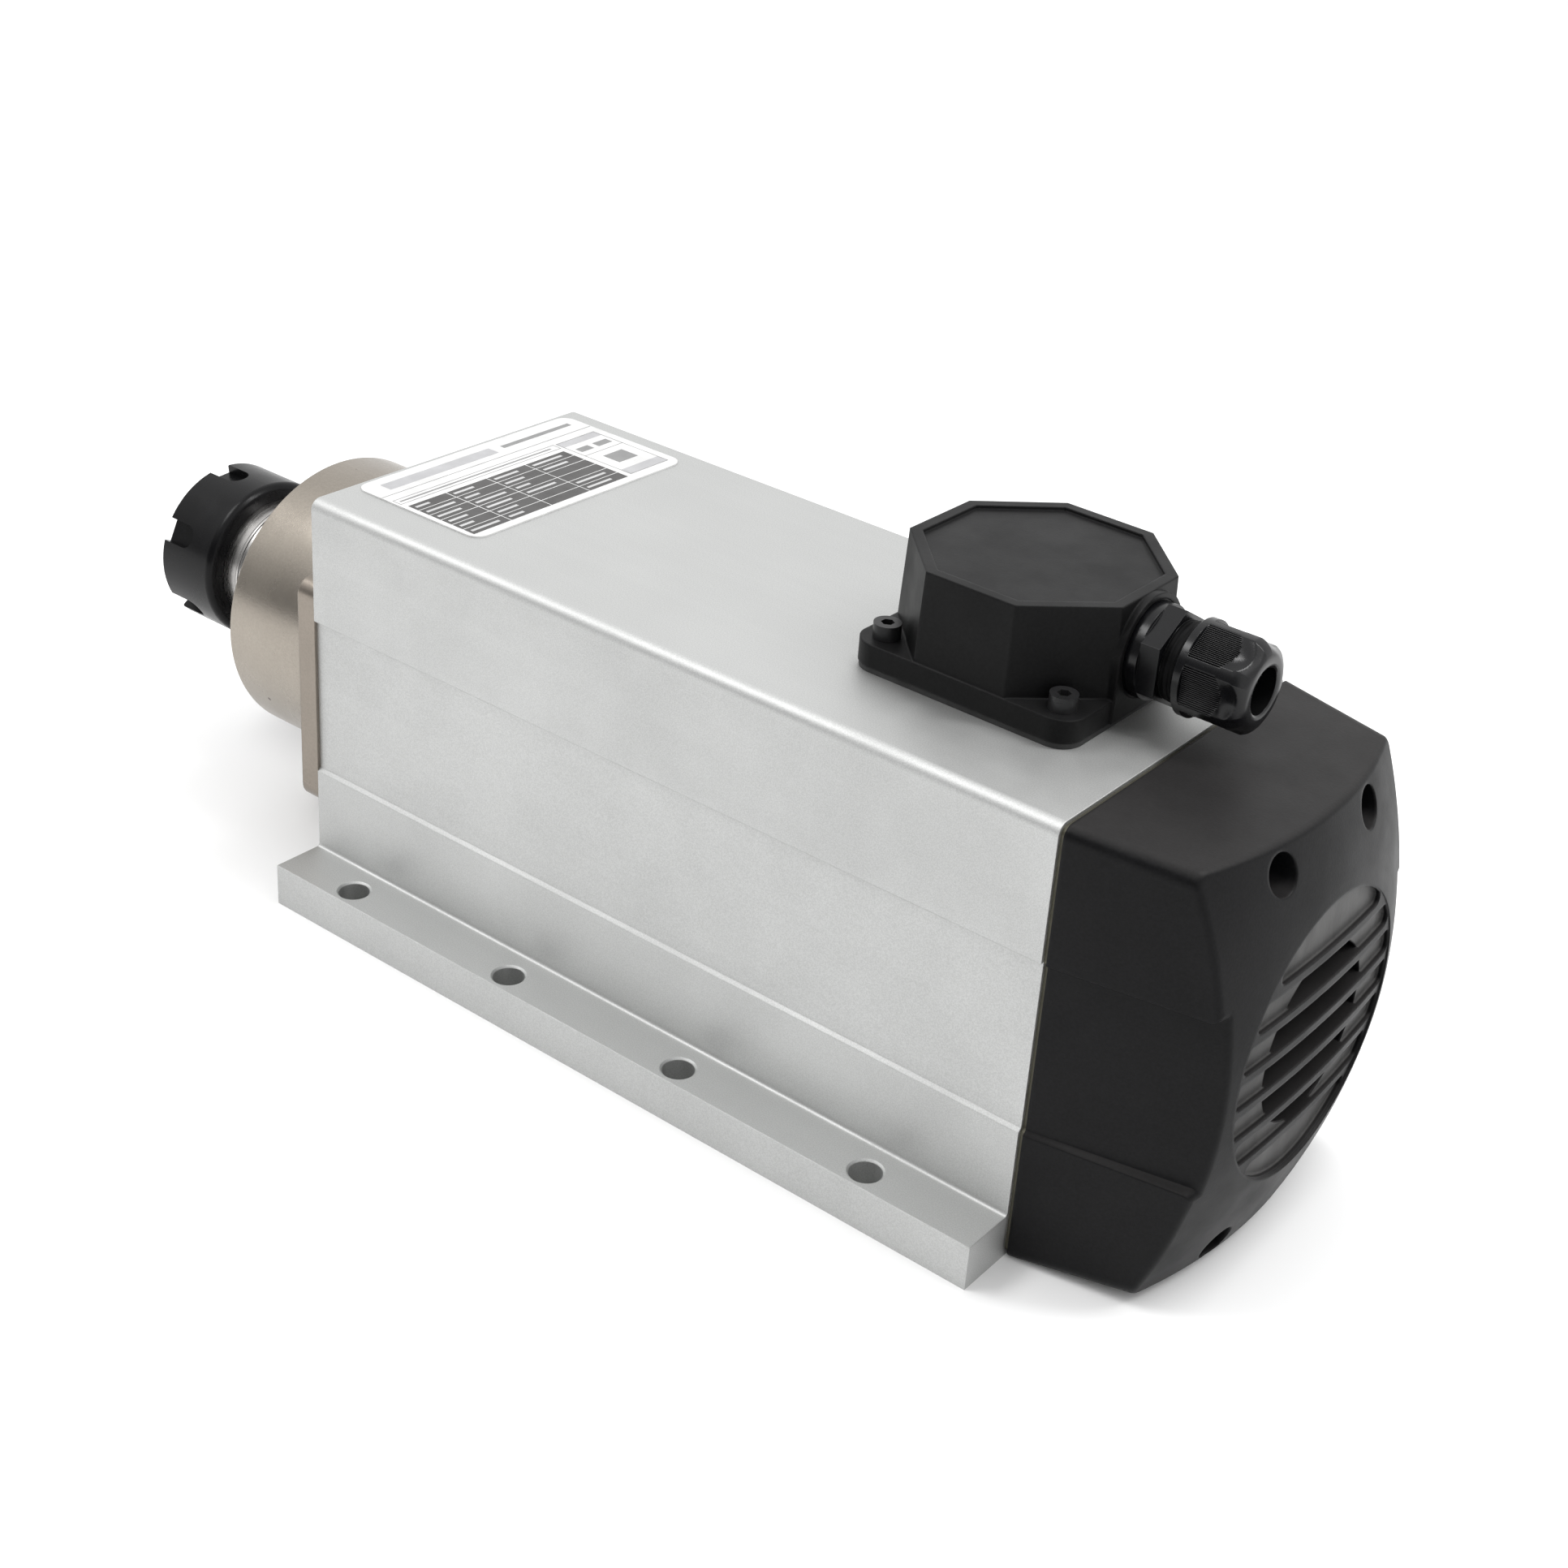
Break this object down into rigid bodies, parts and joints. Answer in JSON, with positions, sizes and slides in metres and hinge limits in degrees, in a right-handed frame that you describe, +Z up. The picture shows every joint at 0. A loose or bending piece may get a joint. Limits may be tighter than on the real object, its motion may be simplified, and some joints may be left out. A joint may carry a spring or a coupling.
{
  "type": "motor spindle",
  "caption": "Square-bodied air-cooled motor spindle with foot flanges, collet nose, fan cover and terminal box.",
  "frame": {"origin": "On the base plane that the feet stand on, in the middle of the eight-hole foot pattern, straight below the shaft axis.", "axes": "+X along the shaft axis to the tool nose, +Z up from the base plane, +Y to the side so that the frame is right-handed; the shaft axis is at z = 0.06 m."},
  "size_m": [0.3876, 0.134, 0.1508],
  "materials": {
    "bare_aluminium": "bead-blasted and clear anodised, satin",
    "label": "blank white film with ruled grey cells",
    "nickel_plate": "warm grey plating, satin",
    "steel": "ground steel",
    "bearing_steel": "polished bearing steel",
    "black_steel": "black oxide",
    "black_nut": "satin black oxide",
    "core_iron": "stacked sheets",
    "winding": "varnished copper wire",
    "shield_metal": "cast, dull",
    "black_plastic": "moulded, fine grain",
    "black_nylon": "moulded nylon",
    "cage_plastic": "reinforced resin",
    "block_plastic": "moulded resin",
    "brass": "plain",
    "lead_sheath": "silicone sheath",
    "rubber": "black rubber"
  },
  "bodies": {
    "root": {"housing": "bare_aluminium", "nameplate": "label", "front_bearing_housing": "nickel_plate", "front_flange_screws": "black_steel", "front_bearing_cover": "steel", "front_cover_screws": "black_steel", "front_bearing_a_outer_ring": "bearing_steel", "front_bearing_b_outer_ring": "bearing_steel", "bearing_spacer_outer": "steel", "stator_core": "core_iron", "stator_windings": "winding", "rear_bearing_outer_ring": "bearing_steel", "rear_end_shield": "shield_metal", "rear_shield_screws": "black_steel", "wave_spring": "steel", "fan_cover": "black_plastic", "fan_cover_screws": "black_steel", "terminal_box": "black_plastic", "terminal_box_gasket": "rubber", "terminal_box_screws": "black_steel", "terminal_block": "block_plastic", "terminal_studs": "brass", "motor_leads": "lead_sheath", "gland_body": "black_nylon"},
    "rotor": {"spindle_shaft": "steel", "labyrinth_ring": "steel", "front_bearing_a_inner_ring": "bearing_steel", "front_bearing_b_inner_ring": "bearing_steel", "bearing_spacer_inner": "steel", "bearing_locknut": "black_steel", "rotor_core": "core_iron", "rotor_cage": "bare_aluminium", "rear_bearing_inner_ring": "bearing_steel", "fan": "black_plastic", "fan_washer": "steel", "fan_screw": "steel"},
    "cage_a": {"front_bearing_a_balls": "bearing_steel", "front_bearing_a_cage": "cage_plastic"},
    "cage_b": {"front_bearing_b_balls": "bearing_steel", "front_bearing_b_cage": "cage_plastic"},
    "cage_rear": {"rear_bearing_balls": "bearing_steel", "rear_bearing_cage": "cage_plastic"},
    "collet": {"collet": "steel"},
    "collet_nut": {"collet_nut": "black_nut"},
    "gland_insert": {"gland_seal": "rubber", "gland_claw": "black_nylon"},
    "gland_nut": {"gland_nut": "black_nylon"}
  },
  "joints": [
    {"name": "shaft_spin", "type": "hinge", "parent": "root", "child": "rotor", "pos_m": [0, 0, 0.06], "axis": [1, 0, 0], "continuous": true},
    {"name": "cage_a_spin", "type": "hinge", "parent": "root", "child": "cage_a", "pos_m": [0, 0, 0.06], "axis": [1, 0, 0], "continuous": true},
    {"name": "cage_b_spin", "type": "hinge", "parent": "root", "child": "cage_b", "pos_m": [0, 0, 0.06], "axis": [1, 0, 0], "continuous": true},
    {"name": "cage_rear_spin", "type": "hinge", "parent": "root", "child": "cage_rear", "pos_m": [0, 0, 0.06], "axis": [1, 0, 0], "continuous": true},
    {"name": "collet_slide", "type": "slide", "parent": "rotor", "child": "collet", "axis": [1, 0, 0], "range_m": [0, 0.012]},
    {"name": "collet_nut_turn", "type": "hinge", "parent": "collet", "child": "collet_nut", "pos_m": [0.2, 0, 0.06], "axis": [1, 0, 0], "range_deg": [0, 2880]},
    {"name": "gland_slide", "type": "slide", "parent": "root", "child": "gland_insert", "axis": [-1, 0, 0], "range_m": [0, 0.006]},
    {"name": "gland_nut_turn", "type": "hinge", "parent": "gland_insert", "child": "gland_nut", "pos_m": [-0.14, -0.0084, 0.1367], "axis": [-1, 0, 0], "range_deg": [0, 1440]}
  ],
  "couplings": [
    {"joint": "cage_a_spin", "follows": "shaft_spin", "ratio": 0.41753},
    {"joint": "cage_b_spin", "follows": "shaft_spin", "ratio": 0.41753},
    {"joint": "cage_rear_spin", "follows": "shaft_spin", "ratio": 0.3974},
    {"joint": "collet_slide", "follows": "collet_nut_turn", "m_per_rad": 0.00023873},
    {"joint": "gland_slide", "follows": "gland_nut_turn", "m_per_rad": 0.00023873}
  ]
}
